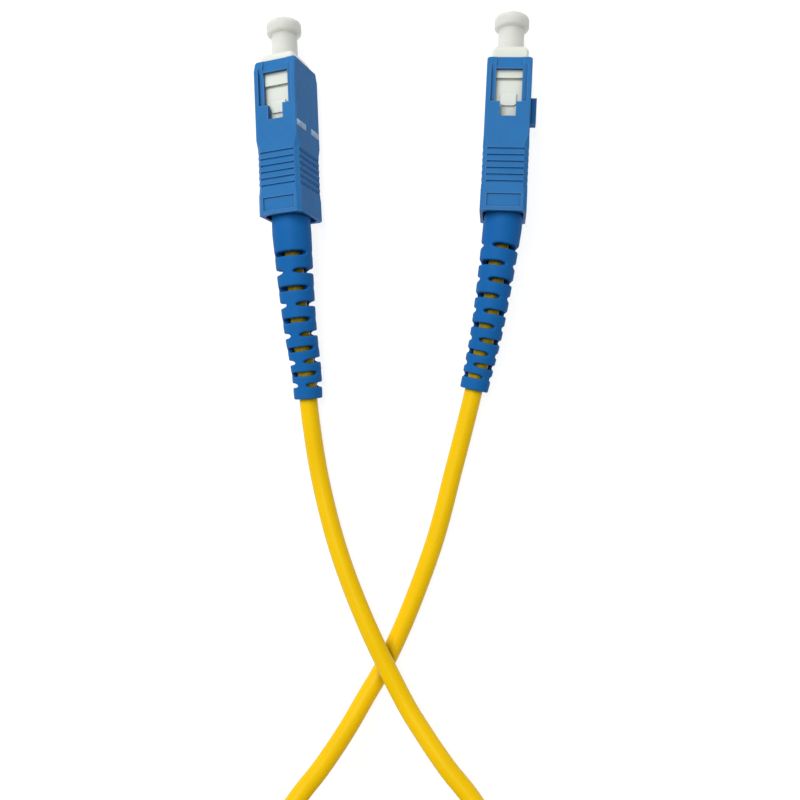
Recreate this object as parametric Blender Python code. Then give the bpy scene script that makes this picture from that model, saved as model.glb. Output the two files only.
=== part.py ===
"""Simplex fibre optic patch cord with two square push-pull connectors.

Metres, +Z up, +Y from the cable coil towards the connector tips.
The origin is on the floor, under the middle of the two connectors.
"""
import math

import bmesh
import bpy
from mathutils import Matrix, Vector

MM = 0.001

# ---------------------------------------------------------------- driving sizes, in millimetres
# Each connector's own frame: origin on the ferrule axis in the plane of the plug frame's nose,
# +Y out of the nose, +Z out of the window face.
POSES = {
    # name: (x, y, z of the origin, yaw, roll, how far the nose stands out of the grip housing)
    "a": ((-18.75, 24.49, 5.45), 2.60, -19.2, 1.35),
    "b": ((19.01, 25.71, 4.90), -3.06, -6.2, 2.10),
}

HOUSING_LENGTH = 25.6
HOUSING_HALF_X = 3.70
HOUSING_HALF_Z = 4.50
LEAD_IN = 1.7            # length of the sloped lead-in on both window faces
LEAD_IN_DEPTH = 0.6
CAVITY_HALF_X = 3.10
CAVITY_HALF_Z = 3.50
KEY_Y = (-10.05, -5.7)   # from the housing's front edge
KEY_HALF_Z = 0.9
KEY_HEIGHT = 1.0
WINDOW_FRONT = -2.05
WINDOW_STEP = -7.65
WINDOW_BACK = -10.05
WINDOW_HALF_WIDE = 2.15
WINDOW_HALF_NARROW = 1.30
LEDGE_HALF = 2.95        # sunk ledges on both sides of the window
LEDGE_DEPTH = 0.55
LEDGE_RAMP = (-1.25, -2.70)
CROSSBAR_DEPTH = 0.30
GROOVE_COUNT = 6
GROOVE_FIRST = -15.5
GROOVE_PITCH = 1.08
GROOVE_WIDTH = 0.32
GROOVE_DEPTH = 0.20
RIBBED_HALF_X = 3.76     # the ribbed part between the front block and the rear panel
RIBBED_HALF_Z = 4.44
RIBBED_BEVEL = 0.75
PANEL_HALF_X = 2.75      # sunk blank panel on both window faces
PANEL_Y = (-25.0, -22.85)
PANEL_DEPTH = 0.20

FRAME_HALF_X = 3.0
FRAME_HALF_Z = 3.4
FRAME_CHAMFER = 0.35
FRAME_LEAD_IN = (0.40, 0.75)  # how far the nose narrows on every side, and over what length
FRAME_LENGTH = 17.5

FERRULE_R = 1.25
FERRULE_TIP = 2.4
FERRULE_TRAVEL = 1.0

SPRING_Y = (-15.40, -10.46)
SPRING_R = 1.75
SPRING_WIRE = 0.38
SPRING_TURNS = 6

JACKET_R = 1.5

BOOT_FRONT = -20.5       # along the cord's route, measured like the connector's Y
BOOT_LEVELS = 10
BOOT_FIRST_SLOT = -32.9
BOOT_PITCH = (2.88, 1.93)
BOOT_SLOT = 0.74
BOOT_BRIDGE_HALF = 22.5  # degrees; half the width of each bridge left beside a slot
BOOT_TURN = {"a": 0.0, "b": 48.0}  # degrees by which the boot sits turned on the cord
BOOT_SHOULDER = -28.6    # the part in front of this stays inside the sliding housing
BOOT_COLLAR_R = 3.2
BOOT_END = -56.86
BOOT_R = (3.27, 2.36)
BOOT_BORE = 1.68

COIL_CENTRE = (-1.45, -126.5)
COIL_R = (12.0, 24.0)
COIL_Z = (0.8, 12.8)
TIE_ANGLES = {"coil_tie_left": 215.0, "coil_tie_right": 325.0}

# Route points of the two strands, from the back of each connector to the coil (x, y, z).
ROUTE_A = [
    (-16.25, -19.0, 4.10),
    (-15.15, -27.5, 2.85),
    (-14.60, -34.5, 2.15),
    (-12.83, -45.6, 1.60),
    (-9.60, -57.3, 3.00),
    (-4.98, -68.7, 4.80),
    (0.69, -79.8, 6.40),
    (3.99, -84.8, 8.20),
    (7.71, -89.6, 10.40),
    (11.60, -94.0, 12.10),
    (16.00, -101.0, 13.80),
    (18.30, -109.5, 14.40),
    (18.75, -117.3, 14.40),
    (17.98, -124.8, 14.38),
]
ROUTE_B = [
    (15.20, -19.0, 3.95),
    (13.50, -27.3, 2.80),
    (11.82, -34.5, 2.10),
    (9.48, -43.6, 1.55),
    (6.28, -55.5, 1.52),
    (1.86, -67.4, 1.52),
    (-2.02, -75.7, 2.00),
    (-5.00, -80.5, 3.40),
    (-8.27, -85.6, 5.60),
    (-11.94, -90.4, 8.20),
    (-15.60, -94.5, 10.60),
    (-20.20, -101.2, 13.30),
    (-23.30, -109.8, 14.30),
    (-24.50, -119.0, 14.40),
    (-23.86, -128.5, 14.38),
]


# ---------------------------------------------------------------- materials
def material(name, colour, roughness, metallic=0.0):
    mat = bpy.data.materials.new(name)
    mat.use_nodes = True
    shader = mat.node_tree.nodes["Principled BSDF"]
    shader.inputs["Base Color"].default_value = (*colour, 1.0)
    shader.inputs["Roughness"].default_value = roughness
    shader.inputs["Metallic"].default_value = metallic
    return mat


# ---------------------------------------------------------------- mesh helpers
def make_object(name, bm, mat, parent, smooth=True):
    bmesh.ops.recalc_face_normals(bm, faces=bm.faces)
    mesh = bpy.data.meshes.new(name)
    bm.to_mesh(mesh)
    bm.free()
    mesh.materials.append(mat)
    if smooth:
        mesh.shade_smooth()
        mesh.set_sharp_from_angle(angle=math.radians(32))
    obj = bpy.data.objects.new(name, mesh)
    bpy.context.collection.objects.link(obj)
    obj.parent = parent
    return obj


def ring_at(bm, points):
    return [bm.verts.new(p) for p in points]


def bridge(bm, first, second):
    count = len(first)
    for i in range(count):
        k = (i + 1) % count
        bm.faces.new((first[i], first[k], second[k], second[i]))


def circle(radius, y, segments):
    step = 2 * math.pi / segments
    return [
        (radius * MM * math.cos(i * step), y * MM, radius * MM * math.sin(i * step)) for i in range(segments)
    ]


def chamfered(half_x, half_z, chamfer, y, per_side=1):
    """Points of a chamfered rectangle at one station, `per_side` steps on every edge and chamfer."""
    corners = [
        (half_x, -half_z + chamfer), (half_x, half_z - chamfer),
        (half_x - chamfer, half_z), (-half_x + chamfer, half_z),
        (-half_x, half_z - chamfer), (-half_x, -half_z + chamfer),
        (-half_x + chamfer, -half_z), (half_x - chamfer, -half_z),
    ]
    points = []
    for i, (x0, z0) in enumerate(corners):
        x1, z1 = corners[(i + 1) % 8]
        for k in range(per_side):
            t = k / per_side
            points.append(((x0 + (x1 - x0) * t) * MM, y * MM, (z0 + (z1 - z0) * t) * MM))
    return points


def solid_of_sections(bm, sections):
    """A closed solid through rings of points, with a flat cap on each end."""
    rings = [ring_at(bm, s) for s in sections]
    for one, two in zip(rings, rings[1:]):
        bridge(bm, one, two)
    bm.faces.new(rings[0])
    bm.faces.new(rings[-1])


def shell_of_sections(bm, outer, inner):
    """A closed tube: both skins run the same way and are joined by a ring of faces at each end."""
    skins = []
    for sections in (outer, inner):
        rings = [ring_at(bm, s) for s in sections]
        for one, two in zip(rings, rings[1:]):
            bridge(bm, one, two)
        skins.append(rings)
    bridge(bm, skins[0][0], skins[1][0])
    bridge(bm, skins[0][-1], skins[1][-1])


def turned(name, profile, mat, parent, segments=24):
    """A closed ring turned about the Y axis from (radius, y) points that run round its section."""
    bm = bmesh.new()
    rings = [ring_at(bm, circle(r, y, segments)) for r, y in profile]
    for i, one in enumerate(rings):
        bridge(bm, one, rings[(i + 1) % len(rings)])
    return make_object(name, bm, mat, parent)


def turned_solid(name, profile, mat, parent, segments=24):
    """A closed solid turned about the Y axis, from one end's rim to the other's."""
    bm = bmesh.new()
    solid_of_sections(bm, [circle(r, y, segments) for r, y in profile])
    return make_object(name, bm, mat, parent)


def add_box(bm, low, high):
    x0, y0, z0 = low
    x1, y1, z1 = high
    lower = [(x0, y0, z0), (x1, y0, z0), (x1, y1, z0), (x0, y1, z0)]
    upper = [(x, y, z1) for x, y, _ in lower]
    solid_of_sections(bm, [[(x * MM, y * MM, z * MM) for x, y, z in ring] for ring in (lower, upper)])


def add_prism_z(bm, outline, z0, z1):
    rings = [[(x * MM, y * MM, z * MM) for x, y in outline] for z in (z0, z1)]
    solid_of_sections(bm, rings)


def add_prism_x(bm, outline, x0, x1):
    rings = [[(x * MM, y * MM, z * MM) for y, z in outline] for x in (x0, x1)]
    solid_of_sections(bm, rings)


def boolean(target, bm, name, operation):
    """Cut or join `target` with the closed solids in `bm`, which stay as a hidden guide."""
    bmesh.ops.recalc_face_normals(bm, faces=bm.faces)
    mesh = bpy.data.meshes.new(name)
    bm.to_mesh(mesh)
    bm.free()
    guide = bpy.data.objects.new(name, mesh)
    bpy.context.collection.objects.link(guide)
    guide.parent = target.parent
    guide.location = target.location
    guide.hide_render = True
    guide.display_type = "WIRE"
    modifier = target.modifiers.new(name, "BOOLEAN")
    modifier.operation = operation
    modifier.solver = "EXACT"
    modifier.object = guide


# ---------------------------------------------------------------- the cord's route
def catmull(points, steps):
    """Points of a smooth curve through `points`, `steps` to each span, ends included."""
    pts = [points[0] * 2 - points[1], *points, points[-1] * 2 - points[-2]]
    found = []
    for i in range(1, len(pts) - 2):
        p0, p1, p2, p3 = pts[i - 1:i + 3]
        for k in range(steps):
            t = k / steps
            found.append(
                0.5 * (2 * p1 + (p2 - p0) * t + (2 * p0 - 5 * p1 + 4 * p2 - p3) * t ** 2
                       + (3 * p1 - p0 - 3 * p2 + p3) * t ** 3)
            )
    found.append(pts[-2])
    return found


def pose_matrix(side):
    (x, y, z), yaw, roll, _ = POSES[side]
    turn = Matrix.Rotation(math.radians(yaw), 4, "Z") @ Matrix.Rotation(math.radians(roll), 4, "Y")
    return Matrix.Translation(Vector((x, y, z)) * MM) @ turn


def route(side):
    """Dense points of one strand's centreline, with their distance behind the plug's nose."""
    place = pose_matrix(side)
    axis = [place @ Vector((0, y * MM, 0)) for y in (-16.0, -20.5, -25.0, -29.5)]
    tail = [Vector(p) * MM for p in (ROUTE_A if side == "a" else ROUTE_B)]
    dense = catmull(axis + tail, 24)
    along = [-16.0]
    for one, two in zip(dense, dense[1:]):
        along.append(along[-1] - (two - one).length / MM)
    return dense, along


def on_route(dense, along, y):
    """The centreline's point and direction (towards the nose) at distance `y` behind the nose."""
    for i in range(1, len(along)):
        if along[i] <= y or i == len(along) - 1:
            t = (along[i - 1] - y) / (along[i - 1] - along[i])
            point = dense[i - 1].lerp(dense[i], t)
            return point, (dense[i - 1] - dense[i]).normalized()
    raise ValueError(y)


# ---------------------------------------------------------------- parts of a connector
def grip_housing(side, mat, parent, nose):
    front = 0.0
    back = -HOUSING_LENGTH
    hx, hz = HOUSING_HALF_X, HOUSING_HALF_Z
    outer = [
        (front, hx - 0.22, hz - LEAD_IN_DEPTH, 0.15),
        (front - 0.25, hx, hz - LEAD_IN_DEPTH + 0.09, 0.15),
        (front - LEAD_IN, hx, hz, 0.15),
        (-13.2, hx, hz, 0.15),
        (-14.6, RIBBED_HALF_X, RIBBED_HALF_Z, RIBBED_BEVEL),
        (-21.6, RIBBED_HALF_X, RIBBED_HALF_Z, RIBBED_BEVEL),
        (-22.3, hx + 0.08, hz, 0.62),
        (back, hx + 0.10, hz + 0.03, 0.62),
    ]
    cx, cz = CAVITY_HALF_X, CAVITY_HALF_Z
    inner = [
        (front, cx, cz, 0.42),
        (-16.6, cx, cz, 0.42),
        (-17.6, cx + 0.22, cz + 0.2, 0.95),
        (back, cx + 0.25, cz + 0.3, 0.95),
    ]
    bm = bmesh.new()
    shell_of_sections(
        bm,
        [chamfered(x, z, c, y) for y, x, z, c in outer],
        [chamfered(x, z, c, y) for y, x, z, c in inner],
    )
    housing = make_object(f"grip_housing_{side}", bm, mat, parent, smooth=False)
    housing.location = (0, -nose * MM, 0)

    key_side = 1 if side == "b" else -1
    bm = bmesh.new()
    x0, x1 = sorted((key_side * (hx - 0.3), key_side * (hx + KEY_HEIGHT)))
    add_box(bm, (x0, KEY_Y[0], -KEY_HALF_Z), (x1, KEY_Y[1], KEY_HALF_Z))
    boolean(housing, bm, f"guide_key_{side}", "UNION")

    windows = bmesh.new()
    sinks = bmesh.new()
    wide, narrow = WINDOW_HALF_WIDE, WINDOW_HALF_NARROW
    outline = [
        (wide, WINDOW_FRONT), (wide, WINDOW_STEP), (narrow, WINDOW_STEP), (narrow, WINDOW_BACK),
        (-narrow, WINDOW_BACK), (-narrow, WINDOW_STEP), (-wide, WINDOW_STEP), (-wide, WINDOW_FRONT),
    ]
    for face in (1, -1):
        z0, z1 = sorted((face * (cz - 0.6), face * (hz + 1.0)))
        add_prism_z(windows, outline, z0, z1)
        deep, high = hz - LEDGE_DEPTH, hz + 1.0
        for lane in (1, -1):
            x0, x1 = sorted((lane * (wide - 0.25), lane * LEDGE_HALF))
            ledge = [
                (WINDOW_STEP + 0.05, face * deep), (LEDGE_RAMP[1], face * deep),
                (LEDGE_RAMP[0], face * (hz - 0.16)), (LEDGE_RAMP[0], face * high),
                (WINDOW_STEP + 0.05, face * high),
            ]
            add_prism_x(sinks, ledge, x0, x1)
        y_cut = [
            (WINDOW_FRONT - 0.2, face * (hz - CROSSBAR_DEPTH)), (-1.3, face * (hz - CROSSBAR_DEPTH - 0.10)),
            (0.5, face * (hz - LEAD_IN_DEPTH - 0.25)), (0.5, face * high), (WINDOW_FRONT - 0.2, face * high),
        ]
        add_prism_x(sinks, y_cut, -wide + 0.3, wide - 0.3)
        for i in range(GROOVE_COUNT):
            y = GROOVE_FIRST - i * GROOVE_PITCH
            z0, z1 = sorted((face * (RIBBED_HALF_Z - GROOVE_DEPTH), face * high))
            reach = RIBBED_HALF_X - RIBBED_BEVEL
            add_box(sinks, (-reach, y - GROOVE_WIDTH / 2, z0), (reach, y + GROOVE_WIDTH / 2, z1))
            x0, x1 = sorted((face * (RIBBED_HALF_X - GROOVE_DEPTH), face * (hx + 1.0)))
            reach = RIBBED_HALF_Z - RIBBED_BEVEL + 0.15
            add_box(sinks, (x0, y - GROOVE_WIDTH / 2, -reach), (x1, y + GROOVE_WIDTH / 2, reach))
        z0, z1 = sorted((face * (hz - PANEL_DEPTH), face * high))
        add_box(sinks, (-PANEL_HALF_X, PANEL_Y[0], z0), (PANEL_HALF_X, PANEL_Y[1], z1))
    boolean(housing, windows, f"guide_windows_{side}", "DIFFERENCE")
    boolean(housing, sinks, f"guide_sinks_{side}", "DIFFERENCE")
    return housing


def plug_frame(side, mat, parent):
    hx, hz, c = FRAME_HALF_X, FRAME_HALF_Z, FRAME_CHAMFER
    narrowed, lead = FRAME_LEAD_IN
    stations = [
        (0.0, hx - narrowed, hz - narrowed, c), (-lead, hx, hz, c),
        (-5.35, hx, hz, c), (-5.75, hx, hz - 0.45, c - 0.1), (-8.0, hx, hz - 0.45, c - 0.1),
        (-8.05, hx, hz - 0.1, c), (-10.0, hx, hz - 0.1, c), (-10.05, hx, hz - 0.35, c),
        (-13.0, hx, hz - 0.35, c), (-13.05, hx, hz, c), (-FRAME_LENGTH, hx, hz, c),
    ]
    outer = [chamfered(x, z, ch, y, per_side=3) for y, x, z, ch in stations]
    bores = [
        (2.50, 0.0), (2.35, -0.2), (2.35, -7.0), (1.45, -7.0), (1.45, -8.2), (2.55, -8.2),
        (2.55, -FRAME_LENGTH),
    ]
    shift = math.atan2(-(hz - c), hx)
    inner = []
    for r, y in bores:
        step = 2 * math.pi / 24
        inner.append([
            (r * MM * math.cos(shift + i * step), y * MM, r * MM * math.sin(shift + i * step))
            for i in range(24)
        ])
    bm = bmesh.new()
    shell_of_sections(bm, outer, inner)
    return make_object(f"plug_frame_{side}", bm, mat, parent, smooth=False)


def spring(side, mat, parent):
    """A helical wire with flat-cut ends, wound about the ferrule axis."""
    bm = bmesh.new()
    per_turn = 14
    count = SPRING_TURNS * per_turn
    y_back, y_front = SPRING_Y
    wire = SPRING_WIRE / 2
    span = y_front - y_back - 2 * wire
    rings = []
    for i in range(count + 1):
        angle = 2 * math.pi * i / per_turn
        y = y_back + wire + span * i / count
        centre = Vector((math.cos(angle) * SPRING_R, y, math.sin(angle) * SPRING_R))
        radial = Vector((math.cos(angle), 0, math.sin(angle)))
        section = []
        for k in range(6):
            around = k * math.pi / 3
            offset = radial * (wire * math.cos(around)) + Vector((0, wire * math.sin(around), 0))
            section.append((centre + offset) * MM)
        rings.append(ring_at(bm, section))
    for one, two in zip(rings, rings[1:]):
        bridge(bm, one, two)
    bm.faces.new(rings[0])
    bm.faces.new(rings[-1])
    return make_object(f"ferrule_spring_{side}", bm, mat, parent)


def boot(side, mat):
    """The bend relief: a tapered tube round the cord, with pairs of slots that alternate by 90 degrees."""
    dense, along = route(side)
    turn = math.radians(BOOT_TURN[side])
    up = (pose_matrix(side).to_3x3() @ Vector((math.sin(turn), 0, math.cos(turn)))).normalized()
    stations = [(y, None) for y in (BOOT_FRONT, -25.8, -26.4, BOOT_SHOULDER, -29.2, -30.2)]
    y = BOOT_FIRST_SLOT
    for level in range(BOOT_LEVELS):
        stations += [(y + BOOT_SLOT / 2, level), (y - BOOT_SLOT / 2, None)]
        y -= BOOT_PITCH[0] + (BOOT_PITCH[1] - BOOT_PITCH[0]) * level / (BOOT_LEVELS - 2)
    stations += [(BOOT_END + 0.25, None), (BOOT_END, None)]
    sectors = 32

    def outer_r(station):
        if station >= BOOT_SHOULDER:
            return BOOT_COLLAR_R
        t = (station - BOOT_SHOULDER) / (BOOT_END - BOOT_SHOULDER)
        r = BOOT_R[0] + (BOOT_R[1] - BOOT_R[0]) * t
        return r - 0.2 if station == BOOT_END else r

    def inner_r(station):
        if station > -26.0:
            return 2.50
        return 2.05 if station > -29.5 else BOOT_BORE

    bm = bmesh.new()
    skins = {"outer": [], "inner": []}
    for y, _ in stations:
        point, tangent = on_route(dense, along, y)
        right = tangent.cross(up).normalized()
        lift = right.cross(tangent).normalized()
        for skin, radius in (("outer", outer_r(y)), ("inner", inner_r(y))):
            ring = []
            for k in range(sectors):
                angle = 2 * math.pi * k / sectors
                outward = right * math.cos(angle) + lift * math.sin(angle)
                ring.append(bm.verts.new(point + outward * radius * MM))
            skins[skin].append(ring)

    def is_open(row, k):
        """Whether the wall is slotted in sector k between stations row and row + 1."""
        if not 0 <= row < len(stations) - 1:
            return True
        level = stations[row][1]
        if level is None:
            return False
        middle = 360 * (k + 0.5) / sectors
        bridge_at = 0 if level % 2 == 0 else 90
        return abs((middle - bridge_at + 90) % 180 - 90) > BOOT_BRIDGE_HALF

    outer, inner = skins["outer"], skins["inner"]
    for row in range(len(stations)):
        for k in range(sectors):
            n = (k + 1) % sectors
            here, before = is_open(row, k), is_open(row - 1, k)
            if not here:
                bm.faces.new((outer[row][k], outer[row][n], outer[row + 1][n], outer[row + 1][k]))
                bm.faces.new((inner[row][k], inner[row + 1][k], inner[row + 1][n], inner[row][n]))
                if is_open(row, n):
                    bm.faces.new((outer[row][n], inner[row][n], inner[row + 1][n], outer[row + 1][n]))
                if is_open(row, (k - 1) % sectors):
                    bm.faces.new((outer[row][k], outer[row + 1][k], inner[row + 1][k], inner[row][k]))
            if here != before:
                bm.faces.new((outer[row][k], outer[row][n], inner[row][n], inner[row][k]))
    return make_object(f"boot_{side}", bm, mat, None, smooth=False)


def strand(side, mat):
    """One end of the cord, from the crimp ring in the boot to where it meets the coil."""
    dense, along = route(side)
    start = -27.8
    length = start - along[-1]
    steps = 34
    curve = bpy.data.curves.new(f"cord_strand_{side}", "CURVE")
    curve.dimensions = "3D"
    curve.resolution_u = 1
    curve.bevel_depth = JACKET_R * MM
    curve.bevel_resolution = 2
    curve.use_fill_caps = True
    spline = curve.splines.new("POLY")
    spline.points.add(steps)
    for i in range(steps + 1):
        point, _ = on_route(dense, along, start - length * i / steps)
        spline.points[i].co = (*point, 1.0)
    curve.materials.append(mat)
    obj = bpy.data.objects.new(f"cord_strand_{side}", curve)
    bpy.context.collection.objects.link(obj)
    return obj


def connector(side, mats):
    origin, yaw, roll, nose = POSES[side]
    base = bpy.data.objects.new(f"connector_{side}", None)
    base.location = Vector(origin) * MM
    base.rotation_euler = pose_matrix(side).to_euler()
    bpy.context.collection.objects.link(base)

    turned(
        f"dust_cap_{side}",
        [(1.31, -5.5), (2.1, -5.5), (2.15, -5.3), (2.15, 4.02), (2.65, 4.2), (2.9, 4.5), (2.9, 5.75),
         (2.74, 6.15), (2.4, 6.38), (1.2, 6.45), (0.02, 6.46), (0.02, 3.35), (1.1, 3.3), (1.31, 3.1)],
        mats["cap"], base,
    )
    grip_housing(side, mats["blue"], base, nose)
    plug_frame(side, mats["white"], base)
    turned_solid(
        f"ferrule_{side}",
        [(0.9, FERRULE_TIP), (FERRULE_R, FERRULE_TIP - 0.5), (FERRULE_R, -9.35), (0.55, -9.4), (0.1, -9.1)],
        mats["ceramic"], base,
    )
    turned(
        f"ferrule_flange_{side}",
        [(1.27, -8.25), (2.1, -8.25), (2.3, -8.45), (2.3, -10.2), (2.15, -10.4), (0.95, -10.4), (0.95, -16.6),
         (0.50, -16.6), (0.50, -9.45), (1.27, -9.45)],
        mats["steel"], base,
    )
    spring(side, mats["steel"], base)
    turned(
        f"stop_ring_{side}",
        [(1.15, -15.45), (2.45, -15.45), (2.45, -17.55), (2.9, -17.55), (2.9, -18.9), (1.75, -19.0),
         (1.75, -25.0), (1.15, -25.0)],
        mats["brass"], base,
    )
    turned(
        f"aramid_yarn_{side}",
        [(1.80, -19.3), (2.05, -19.3), (2.05, -25.2), (1.80, -25.2)],
        mats["yarn"], base,
    )
    turned(
        f"crimp_ring_{side}",
        [(2.10, -19.2), (2.38, -19.2), (2.38, -25.3), (1.92, -25.8), (1.92, -28.8), (1.58, -28.8),
         (1.58, -26.0), (2.10, -25.35)],
        mats["nickel"], base,
    )
    turned_solid(f"buffered_fiber_{side}", [(0.45, -9.5), (0.45, -26.6)], mats["buffer"], base, segments=12)
    boot(side, mats["boot"])
    strand(side, mats["jacket"])


# ---------------------------------------------------------------- the coil and its ties
def coil(mat):
    """The coiled rest of the cord, as one ring."""
    inner, outer = COIL_R
    low, high = COIL_Z
    c = 1.2
    profile = [
        (inner + c, low), (outer - c, low), (outer, low + c), (outer, high - c),
        (outer - c, high), (inner + c, high), (inner, high - c), (inner, low + c),
    ]
    bm = bmesh.new()
    segments = 48
    columns = []
    for i in range(segments):
        angle = 2 * math.pi * i / segments
        columns.append(ring_at(bm, [
            (r * MM * math.cos(angle), r * MM * math.sin(angle), z * MM) for r, z in profile
        ]))
    for i, one in enumerate(columns):
        bridge(bm, one, columns[(i + 1) % segments])
    obj = make_object("cord_coil", bm, mat, None)
    obj.location = (COIL_CENTRE[0] * MM, COIL_CENTRE[1] * MM, 0)
    return obj


def tie(name, angle, mat):
    """A soft strap round the coil's section."""
    inner, outer = COIL_R
    low, high = COIL_Z
    gap, thick, half, bow = 0.06, 0.7, 2.0, 0.25
    bm = bmesh.new()

    def loop(offset):
        c = 1.2 + offset * 0.4
        i, o, z0, z1 = inner - bow - offset, outer + offset, low - offset, high + offset
        return [
            (i + c, z0), (o - c, z0), (o, z0 + c), (o, z1 - c),
            (o - c, z1), (i + c, z1), (i, z1 - c), (i, z0 + c),
        ]

    near, far = loop(gap), loop(gap + thick)
    rings = {}
    for y in (-half, half):
        for label, points in (("near", near), ("far", far)):
            rings[label, y] = ring_at(bm, [(r * MM, y * MM, z * MM) for r, z in points])
    bridge(bm, rings["near", -half], rings["near", half])
    bridge(bm, rings["far", -half], rings["far", half])
    bridge(bm, rings["near", -half], rings["far", -half])
    bridge(bm, rings["near", half], rings["far", half])
    obj = make_object(name, bm, mat, None, smooth=False)
    obj.location = (COIL_CENTRE[0] * MM, COIL_CENTRE[1] * MM, 0)
    obj.rotation_euler = (0, 0, math.radians(angle))
    return obj


def main():
    for obj in list(bpy.data.objects):
        bpy.data.objects.remove(obj)
    mats = {
        "blue": material("connector_blue", (0.035, 0.185, 0.50), 0.42),
        "boot": material("boot_blue", (0.020, 0.120, 0.43), 0.55),
        "white": material("plug_white", (0.74, 0.75, 0.70), 0.40),
        "cap": material("cap_translucent", (0.66, 0.67, 0.62), 0.45),
        "ceramic": material("ferrule_ceramic", (0.80, 0.79, 0.74), 0.18),
        "steel": material("steel", (0.60, 0.60, 0.60), 0.28, 1.0),
        "brass": material("stop_ring_brass", (0.62, 0.58, 0.48), 0.32, 1.0),
        "nickel": material("crimp_nickel", (0.66, 0.65, 0.62), 0.30, 1.0),
        "yarn": material("aramid_yellow", (0.75, 0.62, 0.25), 0.80),
        "buffer": material("buffer_white", (0.80, 0.80, 0.78), 0.45),
        "jacket": material("jacket_yellow", (0.85, 0.53, 0.0), 0.42),
        "tie": material("tie_black", (0.03, 0.03, 0.03), 0.70),
    }
    for side in POSES:
        connector(side, mats)
    coil(mats["jacket"])
    for name, angle in TIE_ANGLES.items():
        tie(name, angle, mats["tie"])


main()
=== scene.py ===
"""Looks for the simplex fibre optic patch cord: detailed pieces, materials, floor, light and camera."""

import math

import bmesh
import bpy
from mathutils import Matrix, Vector


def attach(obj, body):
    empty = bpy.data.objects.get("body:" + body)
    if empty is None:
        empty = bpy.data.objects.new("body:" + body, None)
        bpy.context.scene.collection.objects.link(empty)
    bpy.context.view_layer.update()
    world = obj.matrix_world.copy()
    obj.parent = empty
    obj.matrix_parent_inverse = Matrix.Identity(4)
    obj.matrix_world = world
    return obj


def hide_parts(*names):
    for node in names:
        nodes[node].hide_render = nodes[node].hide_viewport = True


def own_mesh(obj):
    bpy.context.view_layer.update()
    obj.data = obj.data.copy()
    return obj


MM = 0.001
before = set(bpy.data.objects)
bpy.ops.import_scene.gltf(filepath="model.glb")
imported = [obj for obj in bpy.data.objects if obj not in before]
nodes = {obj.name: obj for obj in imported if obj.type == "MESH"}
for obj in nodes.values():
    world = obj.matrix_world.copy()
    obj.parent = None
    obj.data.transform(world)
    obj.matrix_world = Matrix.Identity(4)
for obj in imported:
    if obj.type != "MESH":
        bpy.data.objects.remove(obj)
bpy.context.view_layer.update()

# ---------------------------------------------------------------- sizes, in millimetres, as in the CAD
# Each connector's frame: origin on the ferrule axis in the plane of the plug's nose, +Y out of the nose.
POSES = {
    # side: (origin, yaw, roll, how far the nose stands out of the grip, roll of the boot)
    "a": ((-18.75, 24.49, 5.45), 2.60, -19.2, 1.35, 0.0),
    "b": ((19.01, 25.71, 4.90), -3.06, -6.2, 2.10, 48.0),
}
KEY_SIDE = {"a": -1, "b": 1}
ROUTE = {
    "a": [
        (-16.25, -19.0, 4.10), (-15.15, -27.5, 2.85), (-14.60, -34.5, 2.15), (-12.83, -45.6, 1.60),
        (-9.60, -57.3, 3.00), (-4.98, -68.7, 4.80), (0.69, -79.8, 6.40), (3.99, -84.8, 8.20),
        (7.71, -89.6, 10.40), (11.60, -94.0, 12.10), (16.00, -101.0, 13.80), (18.30, -109.5, 14.40),
        (18.75, -117.3, 14.40), (17.98, -124.8, 14.38),
    ],
    "b": [
        (15.20, -19.0, 3.95), (13.50, -27.3, 2.80), (11.82, -34.5, 2.10), (9.48, -43.6, 1.55),
        (6.28, -55.5, 1.52), (1.86, -67.4, 1.52), (-2.02, -75.7, 2.00), (-5.00, -80.5, 3.40),
        (-8.27, -85.6, 5.60), (-11.94, -90.4, 8.20), (-15.60, -94.5, 10.60), (-20.20, -101.2, 13.30),
        (-23.30, -109.8, 14.30), (-24.50, -119.0, 14.40), (-23.86, -128.5, 14.38),
    ],
}
JACKET_R = 1.5
JACKET_START = -27.8      # along the cord's route, measured like the connector's Y
COIL_CENTRE = (-1.45, -126.5)
COIL_COLUMNS = (22.5, 19.5, 16.5, 13.5)  # radius of each column of turns
COIL_LAYERS = (2.3, 5.3, 8.3, 11.3)      # height of each layer of turns
COIL_BOX = (12.0, 24.0, 0.8, 12.8)       # inner and outer radius, lowest and highest point
COIL_TOP = 14.38          # where the strands run on to the coil
TIE_ANGLES = {"coil_tie_left": 215.0, "coil_tie_right": 325.0}
# (column, layer) of each turn in the order in which the cord runs through them
COIL_ORDER = [
    (1, 3), (2, 3), (3, 3), (3, 2), (2, 2), (1, 2), (1, 1), (2, 1),
    (3, 1), (3, 0), (2, 0), (1, 0), (0, 0), (0, 1), (0, 2), (0, 3),
]

HOUSING_LENGTH = 25.6
HOUSING_HALF_X = 3.70
HOUSING_HALF_Z = 4.50
RIBBED_HALF_X = 3.76
RIBBED_HALF_Z = 4.44
RIBBED_BEVEL = 0.75
KEY_Y = (-10.05, -5.7)    # from the housing's front edge
KEY_HALF_Z = 0.9
KEY_HEIGHT = 1.0
WINDOW_FRONT = -2.05
WINDOW_STEP = -7.65
WINDOW_BACK = -10.05
WINDOW_HALF_WIDE = 2.15
WINDOW_HALF_NARROW = 1.30
GROOVE_COUNT = 6
GROOVE_FIRST = -15.5
GROOVE_PITCH = 1.08
PANEL_HALF_X = 2.75       # sunk blank panel on both window faces
PANEL_Y = (-25.0, -22.85)
PANEL_FLOOR = 4.27
CUT_END = 5.5             # the cutters reach this far from the axis, clear of the housing

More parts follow.
